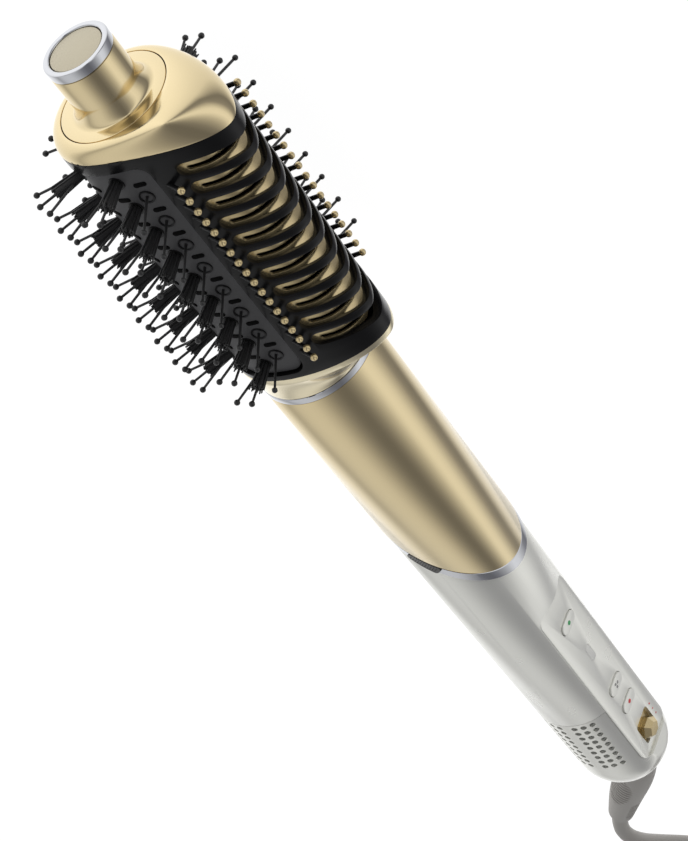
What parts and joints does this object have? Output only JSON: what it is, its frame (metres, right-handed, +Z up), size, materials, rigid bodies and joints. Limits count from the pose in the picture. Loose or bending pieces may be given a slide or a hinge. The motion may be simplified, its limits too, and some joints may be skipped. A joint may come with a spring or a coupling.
{
  "type": "hot air styler",
  "caption": "Hot air styler: a removable vented brush head with bristles and ball pins on a barrel that twists on a handle with buttons, an intake sleeve and a mains lead.",
  "frame": {"origin": "on the barrel's axis, at its mouth, where the brush head's collar meets the barrel", "axes": "+X along the barrel towards the tip, +Y the bristle side away from the buttons and vents, +Z up as the styler lies on its bristles"},
  "size_m": [0.6334, 0.1282, 0.0746],
  "materials": {
    "gold_paint": "satin pearl paint",
    "pale_gold_paint": "satin pearl paint",
    "pearl_paint": "satin pearl paint",
    "button_plastic": "satin",
    "gold_gloss": "gloss",
    "chrome_plate": "polished",
    "black_plastic": "fine texture",
    "black_satin": "satin",
    "pad_rubber": "matt",
    "bristle_nylon": "satin",
    "disc_plastic": "matt",
    "mica_sheet": "matt",
    "heater_wire": "drawn",
    "copper_wire": "drawn",
    "plain_steel": "machined",
    "board_laminate": "solder mask",
    "mount_rubber": "matt",
    "cord_rubber": "matt",
    "tie_plastic": "matt",
    "blade_metal": "plated"
  },
  "bodies": {
    "handle": {"handle_shell": "pearl_paint", "joint_ring": "chrome_plate", "joint_retainer": "black_plastic", "control_panel": "pearl_paint", "led_window": "button_plastic", "main_board": "board_laminate", "board_switches": "black_plastic", "motor_housing": "black_plastic", "motor_mounts": "mount_rubber", "motor_stator": "copper_wire", "motor_bearings": "plain_steel", "rear_frame": "black_plastic", "filter_mesh": "plain_steel", "cord_clamp": "black_plastic", "clamp_screws": "plain_steel", "supply_wires": "copper_wire", "cord_boot": "cord_rubber", "cord_lead": "cord_rubber", "cord_coil": "cord_rubber", "cord_tie": "tie_plastic", "plug_body": "cord_rubber", "plug_pins": "blade_metal"},
    "barrel": {"barrel_tube": "gold_paint", "barrel_ring": "chrome_plate", "outlet_grille": "black_plastic", "heater_frame": "mica_sheet", "heater_coil": "heater_wire", "heater_shield": "mica_sheet", "heater_leads": "copper_wire", "thermal_fuse": "plain_steel", "thermostat": "black_plastic", "joint_spigot": "black_plastic"},
    "brush_head": {"head_adapter": "black_plastic", "head_collar": "pale_gold_paint", "vent_frame": "black_satin", "vent_core": "gold_paint", "head_duct": "black_plastic", "bristle_pad": "pad_rubber", "bristles": "bristle_nylon", "side_pins": "bristle_nylon", "pin_tips": "gold_gloss", "end_cap": "gold_paint", "tip_post": "gold_paint", "tip_ring": "chrome_plate", "tip_disc": "disc_plastic", "tip_screw": "plain_steel"},
    "rotor": {"rotor_shaft": "plain_steel", "rotor_magnet": "plain_steel", "impeller": "black_plastic"},
    "lock": {"lock_button": "black_plastic"},
    "power_key": {"power_button": "button_plastic"},
    "fan_key": {"fan_button": "button_plastic"},
    "heat_key": {"heat_button": "button_plastic"},
    "temperature_slide": {"slide_switch": "gold_gloss"},
    "intake": {"intake_sleeve": "pearl_paint"}
  },
  "joints": [
    {"name": "twist_joint", "type": "hinge", "parent": "handle", "child": "barrel", "pos_m": [-0.0889, 0, 0], "axis": [0.682, -0.7314, 0], "range_deg": [0, 180]},
    {"name": "head_slide", "type": "slide", "parent": "barrel", "child": "brush_head", "axis": [1, 0, 0], "range_m": [0, 0.12]},
    {"name": "lock_press", "type": "slide", "parent": "handle", "child": "lock", "axis": [0, 0, -1], "range_m": [0, 0.0012], "stiffness_N_per_m": 1200, "springref_m": -0.001},
    {"name": "power_press", "type": "slide", "parent": "handle", "child": "power_key", "axis": [0, 1, 0], "range_m": [0, 0.0008], "stiffness_N_per_m": 1500, "springref_m": -0.0008},
    {"name": "fan_press", "type": "slide", "parent": "handle", "child": "fan_key", "axis": [0, 1, 0], "range_m": [0, 0.0008], "stiffness_N_per_m": 1500, "springref_m": -0.0008},
    {"name": "heat_press", "type": "slide", "parent": "handle", "child": "heat_key", "axis": [0, 1, 0], "range_m": [0, 0.0008], "stiffness_N_per_m": 1500, "springref_m": -0.0008},
    {"name": "temperature_travel", "type": "slide", "parent": "handle", "child": "temperature_slide", "axis": [1, 0, 0], "range_m": [0, 0.004]},
    {"name": "intake_slide", "type": "slide", "parent": "handle", "child": "intake", "axis": [-1, 0, 0], "range_m": [0, 0.012]},
    {"name": "rotor_spin", "type": "hinge", "parent": "handle", "child": "rotor", "pos_m": [-0.13, 0, 0], "axis": [1, 0, 0], "continuous": true}
  ]
}
